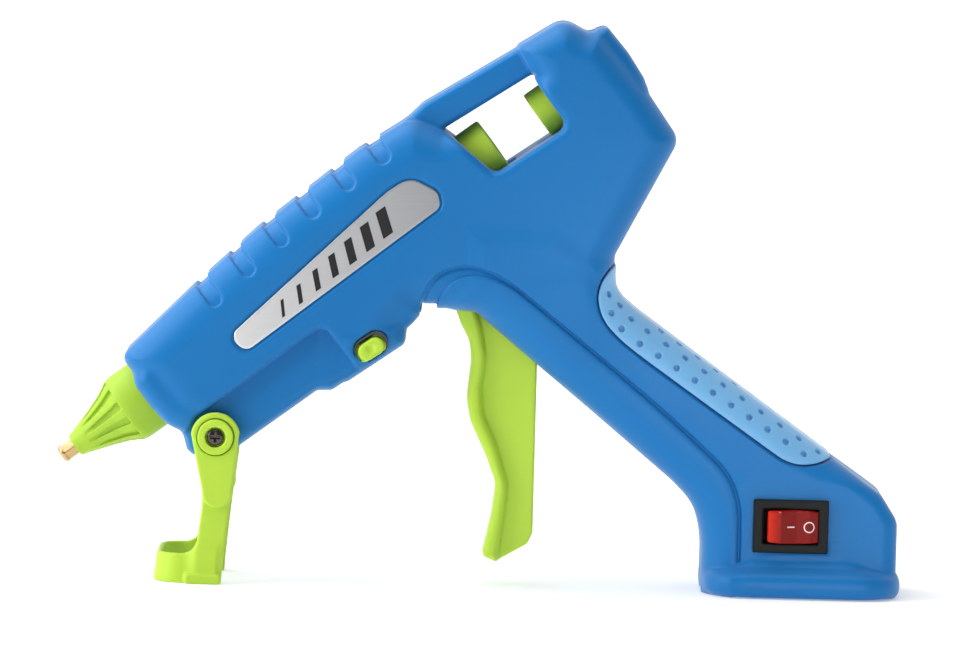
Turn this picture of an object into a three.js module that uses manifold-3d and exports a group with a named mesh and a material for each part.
import * as THREE from 'three';
import * as BufferGeometryUtils from 'three/addons/utils/BufferGeometryUtils.js';
import Module from 'manifold-3d';

// Hot-melt glue gun. Millimetres, +Z up, nozzle towards -X, near side towards -Y.
// The side view is drawn in the X-Z plane, with the stick axis sloping up towards the back.

const wasm = await Module();
wasm.setup();

// Driving dimensions
const SHIFT_X = 0.57;              // brings the overall box onto the origin
const TIP = { x: -116.7, z: 33.6 };  // centre of the nozzle's end face
const AXIS_ANGLE = Math.atan2(0.6018, 0.7986);
const BODY_HALF_WIDTH = 18;
const HANDLE_HALF_WIDTH = 15.5;
const RAIL_HALF_WIDTH = 10;
const FLANGE_HALF_WIDTH = 22;
const WALL = 2.2;
const GAP = 0.3;                   // clearance between separate pieces
const STICK_R = 5.6;               // 11.2 mm glue stick
const GUIDE_BORE_R = 5.95;
const CARRIAGE_R = 8.8;
const NOSE_S = 29.6;               // distance of the nose plane behind the tip
const CHAMBER_FRONT_S = 35;
const CHAMBER_BACK_S = 84;
const CHAMBER_R = 8;
const PIVOT = { x: -2, z: 87 };      // trigger pivot
const TRIGGER_STROKE = THREE.MathUtils.degToRad(18);
const STAND_PIVOT = { x: -74.3, z: 41 };
const SWITCH = { x: 85.4, z: 19, length: 21, height: 15 };
const BUTTON = { x: -32, z: 66.5, length: 8.3, width: 5.4, angle: 35 };

const U = new THREE.Vector3(Math.cos(AXIS_ANGLE), 0, Math.sin(AXIS_ANGLE));
const N = new THREE.Vector3(-Math.sin(AXIS_ANGLE), 0, Math.cos(AXIS_ANGLE));

const blue = { color: 0x2679bd, roughness: 0.5, metalness: 0 };
const lime = { color: 0xb2d845, roughness: 0.4, metalness: 0 };
const brass = { color: 0xd9b780, roughness: 0.3, metalness: 1 };
const alloy = { color: 0xb9bcc0, roughness: 0.45, metalness: 1 };
const steel = { color: 0x9a9ea3, roughness: 0.35, metalness: 1 };
const blackSteel = { color: 0x1d1d20, roughness: 0.4, metalness: 1 };
const charcoal = { color: 0x2b2d30, roughness: 0.45, metalness: 0 };
const silver = { color: 0xc4c8cc, roughness: 0.35, metalness: 0.6 };
const red = { color: 0xc41a0c, roughness: 0.2, metalness: 0 };
const silicone = { color: 0xc9b8a2, roughness: 0.7, metalness: 0 };
const ceramic = { color: 0xe8e4da, roughness: 0.7, metalness: 0 };

// --- solids -------------------------------------------------------------------------------

function solid(geometry) {
  const bare = geometry.clone();
  bare.deleteAttribute('normal');
  bare.deleteAttribute('uv');
  const merged = BufferGeometryUtils.mergeVertices(bare, 1e-5);
  const faces = [];
  const index = merged.index.array;
  for (let item = 0; item < index.length; item += 3) {
    const [a, b, c] = [index[item], index[item + 1], index[item + 2]];
    if (a !== b && b !== c && c !== a) {
      faces.push(a, b, c);
    }
  }
  return new wasm.Manifold(new wasm.Mesh({
    numProp: 3,
    vertProperties: new Float32Array(merged.attributes.position.array),
    triVerts: new Uint32Array(faces),
  }));
}

function toGeometry(body) {
  const mesh = body.getMesh();
  const geometry = new THREE.BufferGeometry();
  geometry.setAttribute('position', new THREE.BufferAttribute(new Float32Array(mesh.vertProperties), 3));
  geometry.setIndex(new THREE.BufferAttribute(new Uint32Array(mesh.triVerts), 1));
  return geometry;
}

function union(parts) {
  let result = parts[0];
  for (const part of parts.slice(1)) {
    result = result.add(part);
  }
  return result;
}

// A corner list is [x, z, radius] in counter-clockwise order. The offset moves every edge inwards.
function ring(corners, inset) {
  const count = corners.length;
  const lines = corners.map((corner, index) => {
    const next = corners[(index + 1) % count];
    const length = Math.hypot(next[0] - corner[0], next[1] - corner[1]);
    const dir = [(next[0] - corner[0]) / length, (next[1] - corner[1]) / length];
    return { dir, x: corner[0] - dir[1] * inset, z: corner[1] + dir[0] * inset };
  });
  const meetings = lines.map((after, index) => {
    const before = lines[(index + count - 1) % count];
    const turn = before.dir[0] * after.dir[1] - before.dir[1] * after.dir[0];
    const along = ((after.x - before.x) * after.dir[1] - (after.z - before.z) * after.dir[0]) / turn;
    return [before.x + before.dir[0] * along, before.z + before.dir[1] * along];
  });
  const lengths = meetings.map((corner, index) => {
    const next = meetings[(index + 1) % count];
    return Math.hypot(next[0] - corner[0], next[1] - corner[1]);
  });
  const points = [];
  for (let index = 0; index < count; index += 1) {
    const before = lines[(index + count - 1) % count];
    const after = lines[index];
    const turn = before.dir[0] * after.dir[1] - before.dir[1] * after.dir[0];
    const cosTurn = before.dir[0] * after.dir[0] + before.dir[1] * after.dir[1];
    const corner = meetings[index];
    const stated = corners[index][2];
    const radius = Math.max(turn > 0 ? stated - inset : stated + inset, 0.9);
    const half = Math.abs(Math.atan2(turn, cosTurn)) / 2;
    const steps = half < 0.2 ? 0 : stated >= 5 ? 3 : stated >= 2 ? 2 : stated > 0 ? 1 : 0;
    if (steps === 0) {
      points.push(corner);
      continue;
    }
    const room = 0.48 * Math.min(lengths[(index + count - 1) % count], lengths[index]);
    const trim = Math.min(radius * Math.tan(half), room);
    const bend = trim / Math.tan(half);
    const start = [corner[0] - before.dir[0] * trim, corner[1] - before.dir[1] * trim];
    const side = Math.sign(turn);
    const centre = [start[0] - before.dir[1] * bend * side, start[1] + before.dir[0] * bend * side];
    const first = Math.atan2(start[1] - centre[1], start[0] - centre[0]);
    for (let step = 0; step <= steps; step += 1) {
      const angle = first + side * 2 * half * (step / steps);
      points.push([centre[0] + bend * Math.cos(angle), centre[1] + bend * Math.sin(angle)]);
    }
  }
  return points;
}

// Joins rings of equal length, stacked along local Z, into one closed body.
function loft(levels) {
  const count = levels[0].points.length;
  const positions = [];
  for (const level of levels) {
    for (const point of level.points) {
      positions.push(point[0], point[1], level.height);
    }
  }
  const index = [];
  for (let level = 0; level < levels.length - 1; level += 1) {
    for (let item = 0; item < count; item += 1) {
      const a = level * count + item;
      const b = level * count + ((item + 1) % count);
      index.push(a, b, b + count, a, b + count, a + count);
    }
  }
  const top = (levels.length - 1) * count;
  const cap = (points) => THREE.ShapeUtils.triangulateShape(points.map((p) => new THREE.Vector2(p[0], p[1])), []);
  for (const [a, b, c] of cap(levels[0].points)) {
    index.push(a, c, b);
  }
  for (const [a, b, c] of cap(levels[levels.length - 1].points)) {
    index.push(top + a, top + b, top + c);
  }
  const geometry = new THREE.BufferGeometry();
  geometry.setAttribute('position', new THREE.Float32BufferAttribute(positions, 3));
  geometry.setIndex(index);
  return geometry;
}

const TO_SIDE = new THREE.Matrix4().makeBasis(
  new THREE.Vector3(1, 0, 0), new THREE.Vector3(0, 0, 1), new THREE.Vector3(0, -1, 0));

// A side-view outline given thickness in Y, its edges rounded by `soft` across and `drop` inwards.
function slab(corners, halfWidth, soft = 0, drop = soft, inset = 0, steps = 2) {
  const levels = [];
  if (soft > 0) {
    for (let step = 0; step < steps; step += 1) {
      const angle = (Math.PI / 2) * (step / steps);
      levels.push([-(halfWidth - soft + soft * Math.cos(angle)), inset + drop * (1 - Math.sin(angle))]);
    }
    levels.push([-(halfWidth - soft), inset]);
  } else {
    levels.push([-halfWidth, inset]);
  }
  const mirrored = levels.map(([height, value]) => [-height, value]).reverse();
  const rings = [...levels, ...mirrored].map(([height, value]) => ({ height, points: ring(corners, value) }));
  return solid(loft(rings).applyMatrix4(TO_SIDE));
}

// A plain prism of a side-view outline between two Y values.
function prism(corners, yLow, yHigh, inset = 0) {
  const points = ring(corners, inset);
  const levels = [{ height: -yHigh, points }, { height: -yLow, points }];
  return solid(loft(levels).applyMatrix4(TO_SIDE));
}

function box(x0, x1, y0, y1, z0, z1) {
  const geometry = new THREE.BoxGeometry(x1 - x0, y1 - y0, z1 - z0);
  return solid(geometry.translate((x0 + x1) / 2, (y0 + y1) / 2, (z0 + z1) / 2));
}

// A cylinder lying along Y.
function post(x, z, radius, y0, y1, segments = 12) {
  const geometry = new THREE.CylinderGeometry(radius, radius, y1 - y0, segments);
  return solid(geometry.translate(x, (y0 + y1) / 2, z));
}

// A cylinder lying along X.
function postX(y, z, radius, x0, x1, segments = 16) {
  const geometry = new THREE.CylinderGeometry(radius, radius, x1 - x0, segments).rotateZ(Math.PI / 2);
  return solid(geometry.translate((x0 + x1) / 2, y, z));
}

function atAxis(s, r) {
  return { x: TIP.x + s * U.x + r * N.x, z: TIP.z + s * U.z + r * N.z };
}

const TO_AXIS = new THREE.Matrix4().makeBasis(N, U, new THREE.Vector3(0, 1, 0))
  .setPosition(TIP.x, 0, TIP.z);

// A body of revolution about the stick axis, from [radius, distance behind the tip] pairs.
function turned(profile, segments = 24) {
  const points = profile.map(([radius, s]) => new THREE.Vector2(radius, s));
  return solid(new THREE.LatheGeometry(points, segments).applyMatrix4(TO_AXIS));
}

function tube(outer, inner, s0, s1, segments = 24) {
  return turned([[inner, s0], [outer, s0], [outer, s1], [inner, s1], [inner, s0]], segments);
}

function plug(radius, s0, s1, segments = 24) {
  return turned([[0, s0], [radius, s0], [radius, s1], [0, s1]], segments);
}

// A box in the stick axis's own directions: s along it, r up from it.
function axisBox(s0, s1, r0, r1, y0, y1) {
  const geometry = new THREE.BoxGeometry(r1 - r0, s1 - s0, y1 - y0);
  geometry.translate((r0 + r1) / 2, (s0 + s1) / 2, (y0 + y1) / 2);
  return solid(geometry.applyMatrix4(TO_AXIS));
}

const group = new THREE.Group();
group.name = 'glue_gun';

function addPiece(name, body, finish) {
  const geometry = toGeometry(body);
  geometry.translate(SHIFT_X, 0, 0);
  geometry.computeVertexNormals();
  const mesh = new THREE.Mesh(geometry, new THREE.MeshStandardMaterial(finish));
  mesh.name = name;
  group.add(mesh);
}

// --- side-view outlines -------------------------------------------------------------------

const upperBody = [
  [-81.2, 35.6, 2.4], [-70.3, 36.1, 2],
  [-46.4, 53.9, 2], [-42.6, 54, 2], [-23, 67.7, 2.4], [-22.6, 71.9, 1.5], [-17.6, 77.3, 1.5],
  [0, 78.2, 0], [33, 86, 0], [34.6, 93, 3], [51.8, 126, 5], [41.8, 142.6, 4], [29.5, 157.2, 3],
  [19, 158.2, 5], [6.2, 150.4, 2], [10.9, 142.4, 0], [-13.5, 127, 0],
  [-22.6, 130.2, 5], [-37, 120.3, 5], [-64.5, 97.8, 5], [-82, 81.2, 5], [-101, 61.9, 2.2],
];
const railOutline = [
  [-22, 108, 0], [-13.1, 127.5, 0], [10.6, 142.8, 0], [22, 147, 0], [16.6, 156.3, 2], [-19.6, 133.9, 2.4],
  [-40, 113, 0],
];
const windowOutline = [
  [-13.1, 126.9, 0.8], [1.1, 115.4, 2.4], [20.9, 129, 2.4], [10.4, 142.6, 0.8],
];
const handleOutline = [
  [-9.8, 78.1, 1.5], [-3.6, 77.5, 1.5], [54.5, 29.6, 5], [61.1, 20, 5], [61, 1, 0],
  [115.2, 1, 0], [115.2, 21.6, 5], [110.6, 28.7, 5], [35.4, 82, 3], [34, 92, 0],
  [20, 104, 0], [-9.8, 104, 0],
];
const padOutline = [
  [30.4, 80, 3], [34.2, 71.8, 3], [83, 36.4, 3], [92.5, 35.2, 3], [98, 40, 0], [104, 48, 0],
  [56, 84, 0], [40, 94, 0], [33.6, 89, 0],
];
const labelOutline = [
  [-70.6, 68.5, 2.4], [-66.2, 65.1, 2.4], [-14.8, 105.6, 2.4], [-13, 109.3, 2], [-22.3, 113.9, 5],
  [-28, 110.8, 5],
];
const standRecess = [
  [-90, 30, 0], [-30, 30, 0], [-32.2, 58, 0], [-43.9, 71.2, 2.4], [-50, 69.6, 2], [-73, 51.4, 2],
  [-80.5, 46, 1.5], [-82.6, 41, 1.5],
];
const triggerSlot = [[-14, 73, 0], [8, 58, 0], [32, 44, 0], [33, 52, 2], [4, 80, 0], [-8.9, 84, 0], [-9.6, 76, 0]];

const NOTCHES = [
  [-75.5, 79], [-66.5, 87.5], [-57.5, 96], [-49, 104], [-39.5, 112], [-30, 119.5],
];
const NOTCH_WIDTH = 4;
const NOTCH_DEPTH = 1;

// Screw axes through the two halves: x, z
const SCREW_SITES = [
  atAxis(46, 11.2), atAxis(62, -21.5), atAxis(98, 14.5), { x: 27.5, z: 108 }, { x: 39, z: 133 },
  { x: 39, z: 62 }, { x: 67.6, z: 14 }, { x: 101.5, z: 28 },
];

function stadium(x, z, length, width, angle, steps = 5) {
  const half = (length - width) / 2;
  const turn = THREE.MathUtils.degToRad(angle);
  const points = [];
  for (const end of [1, -1]) {
    for (let step = 0; step <= steps; step += 1) {
      const a = -Math.PI / 2 + (Math.PI * step) / steps + (end < 0 ? Math.PI : 0);
      const px = end * half + (width / 2) * Math.cos(a);
      const pz = (width / 2) * Math.sin(a);
      points.push([x + px * Math.cos(turn) - pz * Math.sin(turn), z + px * Math.sin(turn) + pz * Math.cos(turn), 0]);
    }
  }
  return points;
}

// --- housing --------------------------------------------------------------------------------

function rectangle(x0, x1, halfY, radius) {
  return [[x0, -halfY, radius], [x1, -halfY, radius], [x1, halfY, radius], [x0, halfY, radius]];
}

// The spread foot of the handle, stacked in Z: a bulged rim, then a hollow sweep up into the handle.
function flange(inset) {
  const corners = rectangle(60.7, 116.7, FLANGE_HALF_WIDTH, 12);
  const heights = [[0, 1.4], [1.4, 0.2], [3.4, 0], [5.4, 0.3], [7, 1.6], [8.2, 3.4], [11, 5.2], [16, 6.5]];
  const levels = heights.map(([height, value]) => ({
    height: inset > 0 ? Math.max(height, inset) : height,
    points: ring(corners, value + inset),
  }));
  if (inset > 0) {
    levels.splice(0, 1);
  }
  return solid(loft(levels));
}

function outerSkin(inset) {
  const body = slab(upperBody, BODY_HALF_WIDTH - inset, 7 - inset, 4.5 - inset / 2, inset);
  const rail = slab(railOutline, RAIL_HALF_WIDTH - inset, 3 - inset / 2, inset > 1 ? 1 : 2, inset, 2);
  const handle = slab(handleOutline, HANDLE_HALF_WIDTH - inset, 7 - inset, 5 - inset / 2, inset);
  return union([body, rail, handle]);
}

function notchCutters() {
  const slope = THREE.MathUtils.radToDeg(AXIS_ANGLE) + 90 + 3;
  return union(NOTCHES.map(([x, z]) => {
    const turn = THREE.MathUtils.degToRad(slope);
    const points = stadium(x + 4 * Math.cos(turn), z + 4 * Math.sin(turn), 12, NOTCH_WIDTH, slope, 3);
    return prism(points, -30, 30);
  }));
}

function housing() {
  let shell = union([outerSkin(0), flange(0)]);
  const cavity = union([outerSkin(WALL), flange(WALL)]);
  shell = shell.subtract(notchCutters().subtract(
    slab(upperBody, BODY_HALF_WIDTH - NOTCH_DEPTH, 6, 4, NOTCH_DEPTH)));
  const recess = union([
    prism(standRecess, -30, -14.4),
    prism(standRecess, 14.4, 30),
    prism(labelOutline, -30, -BODY_HALF_WIDTH + 0.9),
    prism(labelOutline, BODY_HALF_WIDTH - 0.9, 30),
    prism(padOutline, -30, 30).subtract(slab(handleOutline, HANDLE_HALF_WIDTH - 1.2, 6, 4.4, 1.2)),
  ]);
  // Walls that carry the outline of each recess into the hollow.
  const recessWalls = union([
    prism(standRecess, -16.6, -12.4, -WALL),
    prism(standRecess, 12.4, 16.6, -WALL),
    prism(windowOutline, -BODY_HALF_WIDTH, BODY_HALF_WIDTH, -WALL),
  ]).intersect(outerSkin(0.5));
  const bosses = union([
    prism(stadium(BUTTON.x, BUTTON.z, 13.4, 8.4, BUTTON.angle, 3), -16.6, -6.6),
    ...SCREW_SITES.map((site) => post(site.x, site.z, 3.3, -BODY_HALF_WIDTH, 6, 8)),
    ...SCREW_SITES.map((site) => post(site.x, site.z, 4.7, 4.6, BODY_HALF_WIDTH, 10)),
    post(PIVOT.x, PIVOT.z, 4.4, -16, -12.6),
    post(PIVOT.x, PIVOT.z, 4.4, 12.6, 16),
    post(STAND_PIVOT.x, STAND_PIVOT.z, 4, -14.5, -4),
    post(STAND_PIVOT.x, STAND_PIVOT.z, 4, 4, 14.5),
  ]).intersect(outerSkin(0));
  const saddles = union([
    axisBox(31.4, 33.4, -16, 16, -17, 17),
    axisBox(95, 97, -22, 16, -17, 17),
    axisBox(180, 182, -16, 8.5, -15, 15),
  ]).intersect(outerSkin(1)).subtract(union([
    plug(10.8, 30, 36), plug(9.1, 90, 100), plug(7.3, 160, 200),
  ]));
  shell = shell.subtract(cavity);
  shell = union([shell, recessWalls, bosses, saddles]).subtract(recess);
  const openings = union([
    prism(windowOutline, -40, 40),
    plug(10.5, 20, 32),
    plug(7.3, 158, 200),
    plug(9.4, 118, 150),
    prism(triggerSlot, -8.3, 8.3),
    post(PIVOT.x, PIVOT.z, 2.15, -14.6, 14.6),
    post(STAND_PIVOT.x, STAND_PIVOT.z, 1.5, -15, 15, 10),
    box(SWITCH.x - 9.7, SWITCH.x + 9.7, -30, -8, SWITCH.z - 6.6, SWITCH.z + 6.6),
    postX(0, 15, 4.6, 109, 119),
    prism(stadium(-31.9, 67.1, 10.2, 7, BUTTON.angle, 4), -30, -16.6),
    prism(stadium(BUTTON.x, BUTTON.z, BUTTON.length + 0.6, BUTTON.width + 0.6, BUTTON.angle), -30, -8),
    prism(stadium(BUTTON.x, BUTTON.z, BUTTON.length + 2.8, BUTTON.width + 0.6, BUTTON.angle), -15.7, -8),
    box(SWITCH.x - 10.9, SWITCH.x + 10.9, -30, -15.55, SWITCH.z - 7.9, SWITCH.z + 7.9),
  ]);
  return shell.subtract(openings);
}

const shell = housing();

function half(side) {
  const keep = side < 0 ? box(-200, 200, -60, -0.15, -50, 250) : box(-200, 200, 0.15, 60, -50, 250);
  const holes = SCREW_SITES.map((site) => (side < 0
    ? post(site.x, site.z, 1.45, -9, 1, 8)
    : union([post(site.x, site.z, 1.8, -1, 40, 8), post(site.x, site.z, 3.4, 6.5, 40, 10)])));
  return shell.intersect(keep).subtract(union(holes));
}

addPiece('left_housing', half(-1), blue);
addPiece('right_housing', half(1), blue);

// --- grip pad and nameplates ------------------------------------------------------------------

// A saddle-shaped skin over the back of the handle, lying in a recess that both halves share.
function gripPad() {
  const skin = slab(handleOutline, HANDLE_HALF_WIDTH, 7, 5)
    .subtract(slab(handleOutline, HANDLE_HALF_WIDTH - 0.95, 6.2, 4.5, 0.95));
  return skin.intersect(prism(padOutline, -30, 30, 0.4));
}

addPiece('grip_pad', gripPad(), blue);

function nameplate(side) {
  const inner = BODY_HALF_WIDTH - 0.6;
  const outer = BODY_HALF_WIDTH - 0.05;
  return side < 0
    ? prism(labelOutline, -outer, -inner, GAP)
    : prism(labelOutline, inner, outer, GAP);
}

addPiece('nameplate_left', nameplate(-1), silver);
addPiece('nameplate_right', nameplate(1), silver);

// --- screws ---------------------------------------------------------------------------------

// A pan-head screw with a cross recess, its head towards +Y at `headY`.
function screw(x, z, headY, length, headR = 2.8, shankR = 1.3) {
  const profile = [
    [0, -length], [shankR, -length + 1], [shankR, 0], [headR, 0], [headR, 1.1], [headR * 0.6, 1.8], [0, 1.8],
  ].map(([radius, y]) => new THREE.Vector2(radius, y));
  const body = solid(new THREE.LatheGeometry(profile, 8).translate(x, headY, z));
  const arm = headR * 0.55;
  const cross = union([
    box(x - arm, x + arm, headY + 0.7, headY + 3, z - 0.3, z + 0.3),
    box(x - 0.3, x + 0.3, headY + 0.7, headY + 3, z - arm, z + arm),
  ]);
  return body.subtract(cross);
}

SCREW_SITES.forEach((site, index) => {
  addPiece(`housing_screw_${index + 1}`, screw(site.x, site.z, 6.8, 13), blackSteel);
});

// --- nozzle and melt chamber ------------------------------------------------------------------

const nozzle = turned([
  [0.8, 0], [1.9, 0], [2.5, 0.9], [2.5, 8], [3.6, 12], [4.6, 16], [4.6, 22], [3.9, 23], [3.9, 34],
  [2, 34], [2, 6], [0.8, 3], [0.8, 0],
], 16).subtract(axisBox(1.4, 5, -4, -2.1, -4, 4));
addPiece('nozzle', nozzle, brass);

const BOOT_SLOTS = 12;

function nozzleBoot() {
  const shellBody = turned([
    [2.9, 4.6], [3.25, 4.6], [4.8, 10.2], [7.7, 18], [9.8, 21.8], [10.1, 25], [10.1, 33.6],
    [8.4, 33.6], [8, 23], [4.6, 12.6], [2.9, 7.6], [2.9, 4.6],
  ], 24);
  const slot = loft([
    { height: 10.5, points: [[3, -0.3], [8, -0.3], [8, 0.3], [3, 0.3]] },
    { height: 22.6, points: [[6, -0.65], [14, -0.65], [14, 0.65], [6, 0.65]] },
  ]);
  const toAxis = new THREE.Matrix4().makeBasis(
    N, new THREE.Vector3(0, -1, 0), U).setPosition(TIP.x, 0, TIP.z);
  const slots = [];
  for (let item = 0; item < BOOT_SLOTS; item += 1) {
    const turn = (item + 0.5) * ((2 * Math.PI) / BOOT_SLOTS);
    slots.push(solid(slot.clone().rotateZ(turn).applyMatrix4(toAxis)));
  }
  return shellBody.subtract(union(slots));
}

addPiece('nozzle_boot', nozzleBoot(), lime);

// Aluminium chamber: bored for the stick at the back, narrowing to the nozzle's thread at the front.
function meltChamber() {
  const barrel = turned([
    [4.2, CHAMBER_FRONT_S], [CHAMBER_R, CHAMBER_FRONT_S], [CHAMBER_R, CHAMBER_BACK_S], [6, CHAMBER_BACK_S],
    [6, 52], [4.2, 42], [4.2, CHAMBER_FRONT_S],
  ]);
  const heaterSeat = axisBox(42, 80, -11.4, -6.6, -6, 6);
  return union([barrel, heaterSeat]).subtract(plug(6, 52, 86));
}

addPiece('melt_chamber', meltChamber(), alloy);
addPiece('heater', axisBox(44, 78, -15.1, -11.7, -5.6, 5.6), ceramic);

function heaterClip() {
  const outer = axisBox(50, 72, -16.5, -8, -9.8, 9.8);
  const inner = axisBox(49, 73, -15.4, -7, -8.6, 8.6);
  return outer.subtract(inner);
}

addPiece('heater_clip', heaterClip(), steel);
addPiece('inlet_collar', turned([
  [6.1, 79], [6.1, 100], [7.6, 100], [8.7, 98], [8.7, 84.4], [8.7, 84.4],
].slice(0, 0).concat([
  [6.1, 84.3], [8.7, 84.3], [8.7, 98.6], [7.4, 100], [6.1, 100], [6.1, 84.3],
])), silicone);
addPiece('chamber_ring', turned([
  [8.3, 37.4], [12, 37.4], [12, 40], [8.3, 40], [8.3, 37.4],
]).subtract(plug(3, 0, 20)), steel);

// --- stick guide, feed carriage, gripper ---------------------------------------------------------

addPiece('stick_guide', turned([
  [GUIDE_BORE_R, 161.8], [7, 161.8], [7, 191.4], [6.5, 191.4], [GUIDE_BORE_R, 190.6], [GUIDE_BORE_R, 161.8],
]).subtract(axisBox(161, 165, -9, -5, -2, 2)), lime);

const pivotAlong = (PIVOT.x - TIP.x) * U.x + (PIVOT.z - TIP.z) * U.z;
const pivotBelow = (PIVOT.x - TIP.x) * N.x + (PIVOT.z - TIP.z) * N.z;
const REST_SWING = TRIGGER_STROKE / 2;
const PIN_S = pivotAlong - pivotBelow * Math.tan(REST_SWING);
const CARRIAGE_FRONT_S = 113.5;
const CARRIAGE_BACK_S = 147.5;

function feedCarriage() {
  const sleeve = tube(CARRIAGE_R, GUIDE_BORE_R, CARRIAGE_FRONT_S, CARRIAGE_BACK_S, 28);
  const pin = atAxis(PIN_S, 0);
  const pins = union([post(pin.x, pin.z, 2, -12.6, -7.6, 14), post(pin.x, pin.z, 2, 7.6, 12.6, 14)]);
  const ears = union([axisBox(115, 121, -13.2, -7, -5.4, -3.2), axisBox(115, 121, -13.2, -7, 3.2, 5.4)]);
  const hinge = atAxis(118, -11);
  return union([sleeve, pins, ears])
    .subtract(plug(GUIDE_BORE_R, 100, 160, 28))
    .subtract(axisBox(119, 134, -12, -2, -2.9, 2.9))
    .subtract(post(hinge.x, hinge.z, 1.15, -7, 7, 10));
}

addPiece('feed_carriage', feedCarriage(), lime);

function stickGripper() {
  const outline = [
    [115.8, -12.6], [120.4, -12.6], [127, -10.2], [131.6, -9.4], [131.6, -6.3], [130.4, -7], [129.2, -6.3],
    [128, -7], [126.8, -6.3], [125.6, -7], [124.4, -6.4], [121, -9.2], [115.8, -9.2],
  ].map(([along, up]) => {
    const place = atAxis(along, up);
    return [place.x, place.z, 0];
  });
  const hinge = atAxis(118, -11);
  return prism(outline, -2.5, 2.5).subtract(post(hinge.x, hinge.z, 1.15, -7, 7, 10));
}

addPiece('stick_gripper', stickGripper(), steel);
const gripperHinge = atAxis(118, -11);
addPiece('gripper_pin', post(gripperHinge.x, gripperHinge.z, 0.95, -5.6, 5.6, 10), steel);

// --- trigger ---------------------------------------------------------------------------------

const triggerFront = [
  [-9, 77.5], [-5.2, 70], [-4.2, 64], [-5, 53], [-4.2, 47], [0.4, 36.8], [3, 29], [2, 18], [0.3, 9.4],
];
const triggerInside = [[4.4, 7.3], [5.8, 16], [6.9, 28], [3.2, 40], [-0.3, 48], [-0.8, 55], [0, 64], [-2.4, 73]];

function trigger() {
  const pad = prism([
    ...triggerFront.map(([x, z]) => [x, z, 0]), ...triggerInside.map(([x, z]) => [x, z, 0]),
    [-4, 80, 0],
  ], -7.4, 7.4);
  const web = prism([
    [-3.4, 76, 0], [-1, 66, 0], [-2, 55, 0], [-1.2, 47, 0], [2.2, 40, 0], [5.9, 28, 0], [4.9, 16, 0],
    [3.4, 7.4, 0], [4.5, 7.3, 0], [12.8, 11.9, 1.5], [14.2, 14.6, 1.5], [14.2, 64, 2], [4.8, 84, 0],
    [4.4, 89, 1], [0.5, 92, 1], [-4.8, 91.5, 1], [-7, 86, 0],
  ], -5, 5);
  const hub = post(PIVOT.x, PIVOT.z, 4.4, -7.9, 7.9, 18);
  const pin = atAxis(PIN_S, 0);
  const reach = Math.hypot(pin.x - PIVOT.x, pin.z - PIVOT.z);
  const aim = new THREE.Vector2(pin.x - PIVOT.x, pin.z - PIVOT.z).normalize();
  const side = new THREE.Vector2(-aim.y, aim.x);
  const along = (a, b) => [PIVOT.x + aim.x * a + side.x * b, PIVOT.z + aim.y * a + side.y * b, 0];
  const armOutline = [along(-3.5, 4), along(-3.5, -4), along(reach + 4, -4), along(reach + 4, 4)].reverse();
  const arm = (y0, y1) => prism(armOutline.map((c) => [c[0], c[1], 2.4]).reverse(), y0, y1);
  const slot = prism(
    stadium(pin.x - aim.x * 0.2, pin.z - aim.y * 0.2, 5.6, 4.4,
      THREE.MathUtils.radToDeg(Math.atan2(aim.y, aim.x))), -20, 20);
  const arms = union([arm(-12.1, -9.6), arm(9.6, 12.1)]);
  const cheeks = union([post(PIVOT.x, PIVOT.z, 4, -12.1, -7, 16), post(PIVOT.x, PIVOT.z, 4, 7, 12.1, 16)]);
  return union([pad, web, hub, cheeks, arms.subtract(slot)])
    .subtract(post(PIVOT.x, PIVOT.z, 2.2, -20, 20));
}

addPiece('trigger', trigger(), lime);
addPiece('trigger_pin', post(PIVOT.x, PIVOT.z, 1.9, -14.4, 14.4, 14), steel);

// --- springs ---------------------------------------------------------------------------------

class Coil extends THREE.Curve {
  constructor(origin, along, across, up, radius, length, turns) {
    super();
    Object.assign(this, { origin, along, across, up, radius, length, turns });
  }

  getPoint(t, target = new THREE.Vector3()) {
    const angle = t * this.turns * 2 * Math.PI;
    return target.copy(this.origin)
      .addScaledVector(this.along, t * this.length)
      .addScaledVector(this.across, this.radius * Math.cos(angle))
      .addScaledVector(this.up, this.radius * Math.sin(angle));
  }
}

function wire(curve, radius, steps, sides = 5) {
  const outline = new THREE.Shape();
  for (let side = 0; side < sides; side += 1) {
    const angle = (side / sides) * 2 * Math.PI;
    const point = [radius * Math.cos(angle), radius * Math.sin(angle)];
    if (side === 0) {
      outline.moveTo(point[0], point[1]);
    } else {
      outline.lineTo(point[0], point[1]);
    }
  }
  outline.closePath();
  return solid(new THREE.ExtrudeGeometry(outline, { steps, bevelEnabled: false, extrudePath: curve }));
}

const returnSpring = new Coil(
  new THREE.Vector3(atAxis(101.2, 0).x, 0, atAxis(101.2, 0).z), U, N, new THREE.Vector3(0, 1, 0), 7.3, 11.6, 3.5);
addPiece('return_spring', wire(returnSpring, 0.5, 32, 4), steel);

// --- stand lock button ---------------------------------------------------------------------------

function lockButton() {
  const cap = (grow, y0, y1) => prism(
    stadium(BUTTON.x, BUTTON.z, BUTTON.length + grow, BUTTON.width + Math.min(grow, 0), BUTTON.angle), y0, y1);
  const dish = solid(new THREE.SphereGeometry(3.4, 14, 10).translate(BUTTON.x, -21.5, BUTTON.z));
  return union([cap(0, -18.3, -15), cap(-0.8, -18.8, -18.2), cap(2.2, -15.4, -14.2)]).subtract(dish);
}

addPiece('lock_button', lockButton(), lime);
const buttonSpring = new Coil(
  new THREE.Vector3(BUTTON.x, -13.85, BUTTON.z), new THREE.Vector3(0, 1, 0), new THREE.Vector3(1, 0, 0),
  new THREE.Vector3(0, 0, 1), 1.8, 5.5, 4);
addPiece('button_spring', wire(buttonSpring, 0.25, 30, 4), steel);

// --- rocker switch -------------------------------------------------------------------------------

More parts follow.
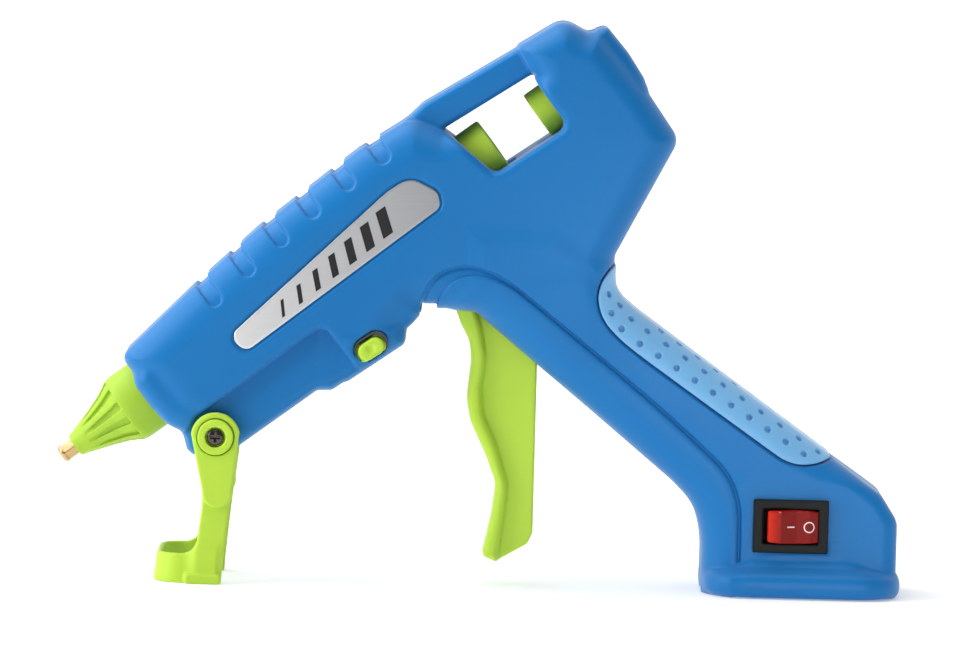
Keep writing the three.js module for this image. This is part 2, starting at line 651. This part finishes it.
const ROCKER_SWING = THREE.MathUtils.degToRad(12);
const ROCKER_PIVOT_Y = -12.9;
const TO_PLAN = (x, y, z) => new THREE.Matrix4().makeTranslation(x, y, z);

function switchBody() {
  const bezel = loft([[-17.3, 0.5], [-16.9, 0.1], [-16.5, 0], [-15.7, 0]].map(([y, inset]) => ({
    height: -y,
    points: ring([[-10.5, -7.5, 1], [10.5, -7.5, 1], [10.5, 7.5, 1], [-10.5, 7.5, 1]], inset),
  })).reverse());
  const frame = solid(bezel.applyMatrix4(TO_SIDE)).translate([SWITCH.x, 0, SWITCH.z]);
  const x = SWITCH.x;
  const z = SWITCH.z;
  return frame
    .add(box(x - 9.4, x + 9.4, -16, -2.5, z - 6.3, z + 6.3))
    .subtract(box(x - 7.7, x + 7.7, -20, -8.6, z - 4.8, z + 4.8))
    .subtract(upright(x, ROCKER_PIVOT_Y, 1.15, z - 5.7, z + 5.7));
}

// A cylinder standing along Z.
function upright(x, y, radius, z0, z1, segments = 12) {
  const geometry = new THREE.CylinderGeometry(radius, radius, z1 - z0, segments).rotateX(Math.PI / 2);
  return solid(geometry.translate(x, y, (z0 + z1) / 2));
}

function rocker() {
  const face = [
    [-2, 3, 0], [-5.2, -0.5, 0], [-6.3, -5.6, 0], [-3.2, -4.8, 0], [0, -4.4, 0], [3.2, -4.8, 0],
    [6.3, -5.6, 0], [5.2, -0.5, 0], [2, 3, 0],
  ].reverse();
  const turned2 = face.map(([a, b]) => [
    a * Math.cos(ROCKER_SWING) - b * Math.sin(ROCKER_SWING),
    a * Math.sin(ROCKER_SWING) + b * Math.cos(ROCKER_SWING),
  ]);
  const area = turned2.reduce((sum, p, i) => {
    const q = turned2[(i + 1) % turned2.length];
    return sum + p[0] * q[1] - p[1] * q[0];
  }, 0);
  const points = area < 0 ? turned2.reverse() : turned2;
  const body = solid(loft([
    { height: SWITCH.z - 4.5, points }, { height: SWITCH.z + 4.5, points },
  ]).applyMatrix4(TO_PLAN(SWITCH.x, ROCKER_PIVOT_Y, 0)));
  return body.add(upright(SWITCH.x, ROCKER_PIVOT_Y, 0.95, SWITCH.z - 5.5, SWITCH.z + 5.5));
}

addPiece('switch_body', switchBody(), charcoal);
addPiece('switch_rocker', rocker(), red);
[-4.6, 4.6].forEach((offset, index) => {
  const x = SWITCH.x + offset;
  addPiece(`switch_terminal_${index + 1}`, box(x - 0.4, x + 0.4, -2.2, 5.5, SWITCH.z - 3.1, SWITCH.z + 3.1)
    .subtract(postX(3.4, SWITCH.z, 0.9, x - 2, x + 2, 10)), brass);
});

// --- stand -----------------------------------------------------------------------------------


const STAND_INNER_Y = 14.8;
const STAND_LEG_Y = 17.4;
const STAND_COVER_Y = 19.4;

// The two discs of the stand arm's outer link, joined by their outer tangents.
function teardrop(grow) {
  const big = { x: STAND_PIVOT.x, z: STAND_PIVOT.z, r: 6.8 + grow };
  const small = { x: -73.5, z: 25.5, r: 4.2 + grow };
  const length = Math.hypot(small.x - big.x, small.z - big.z);
  const heading = Math.atan2(small.z - big.z, small.x - big.x);
  const spread = Math.acos((big.r - small.r) / length);
  const points = [];
  for (let step = 0; step <= 8; step += 1) {
    const angle = heading + spread + ((2 * Math.PI - 2 * spread) * step) / 8;
    points.push([big.x + big.r * Math.cos(angle), big.z + big.r * Math.sin(angle), 0]);
  }
  for (let step = 0; step <= 4; step += 1) {
    const angle = heading - spread + (2 * spread * step) / 4;
    points.push([small.x + small.r * Math.cos(angle), small.z + small.r * Math.sin(angle), 0]);
  }
  return points;
}

function standFrame() {
  const legOutline = [
    [-79, 0.2, 0], [-72, 0.2, 0], [-71.8, 4, 0], [-69.8, 24, 2], [-68.6, 41, 5], [-70, 47.4, 3],
    [-78.6, 47.4, 3], [-80, 41, 5], [-77.4, 24, 2], [-79, 10, 0],
  ];
  const leg = (y0, y1) => prism(legOutline, y0, y1)
    .subtract(post(STAND_PIVOT.x, STAND_PIVOT.z, 3.3, y0 - 1, y1 + 1, 16));
  const loop = solid(loft([[0, 0.5], [0.6, 0], [7.6, 0], [8.2, 0.5]].map(([height, inset]) => ({
    height,
    points: ring([[-91, -STAND_LEG_Y, 5], [-75, -STAND_LEG_Y, 0], [-75, STAND_LEG_Y, 0], [-91, STAND_LEG_Y, 5]],
      inset),
  }))));
  const inside = solid(loft([{ height: -1 }, { height: 12 }].map(({ height }) => ({
    height,
    points: ring([[-88.6, -STAND_INNER_Y, 3], [-60, -STAND_INNER_Y, 0], [-60, STAND_INNER_Y, 0],
      [-88.6, STAND_INNER_Y, 3]], 0),
  }))));
  const toes = union([box(-82.2, -72, 17, 19.4, 0, 2.8), box(-82.2, -72, -19.4, -17, 0, 2.8)]);
  return union([leg(-STAND_LEG_Y, -STAND_INNER_Y), leg(STAND_INNER_Y, STAND_LEG_Y), loop.subtract(inside), toes]);
}

addPiece('stand_frame', standFrame(), lime);

function armCover(side) {
  const y0 = STAND_LEG_Y + 0.15;
  const outline = teardrop(0);
  const body = side < 0 ? prism(outline, -STAND_COVER_Y, -y0) : prism(outline, y0, STAND_COVER_Y);
  return body.subtract(post(STAND_PIVOT.x, STAND_PIVOT.z, 5.2, -30, 30, 20));
}

// A flanged sleeve that the arm turns on; the screw's head sits in its recess.
function standBush(side) {
  const profile = [
    [1.7, 14.7], [3, 14.7], [3, 17.7], [5, 17.7], [5, 20.1], [4.6, 20.4], [2.9, 20.4], [2.9, 18.6], [1.7, 18.6],
    [1.7, 14.7],
  ].map(([radius, y]) => new THREE.Vector2(radius, y));
  const geometry = new THREE.LatheGeometry(profile, 16);
  if (side < 0) {
    geometry.rotateX(Math.PI);
  }
  return solid(geometry.translate(STAND_PIVOT.x, 0, STAND_PIVOT.z));
}

function standScrew(side) {
  const body = screw(STAND_PIVOT.x, STAND_PIVOT.z, 18.75, 12, 2.3, 1.3);
  return side > 0 ? body : body.rotate([180, 0, 0]).translate([0, 0, 2 * STAND_PIVOT.z]);
}

for (const [side, name] of [[-1, 'left'], [1, 'right']]) {
  addPiece(`stand_cover_${name}`, armCover(side), lime);
  addPiece(`stand_bush_${name}`, standBush(side), lime);
  addPiece(`stand_screw_${name}`, standScrew(side), blackSteel);
}

// --- cord inlet ----------------------------------------------------------------------------------

function inletBush() {
  const profile = [
    [3.3, 0], [5.8, 0], [5.8, 1.6], [4.3, 1.9], [4.3, 5], [5.4, 5.4], [5.4, 6.6], [3.3, 6.6], [3.3, 0],
  ].map(([radius, height]) => new THREE.Vector2(radius, height));
  const geometry = new THREE.LatheGeometry(profile, 18).rotateZ(-Math.PI / 2);
  return solid(geometry.translate(110.1, 0, 15));
}

addPiece('cord_inlet', inletBush(), charcoal);
export default group;
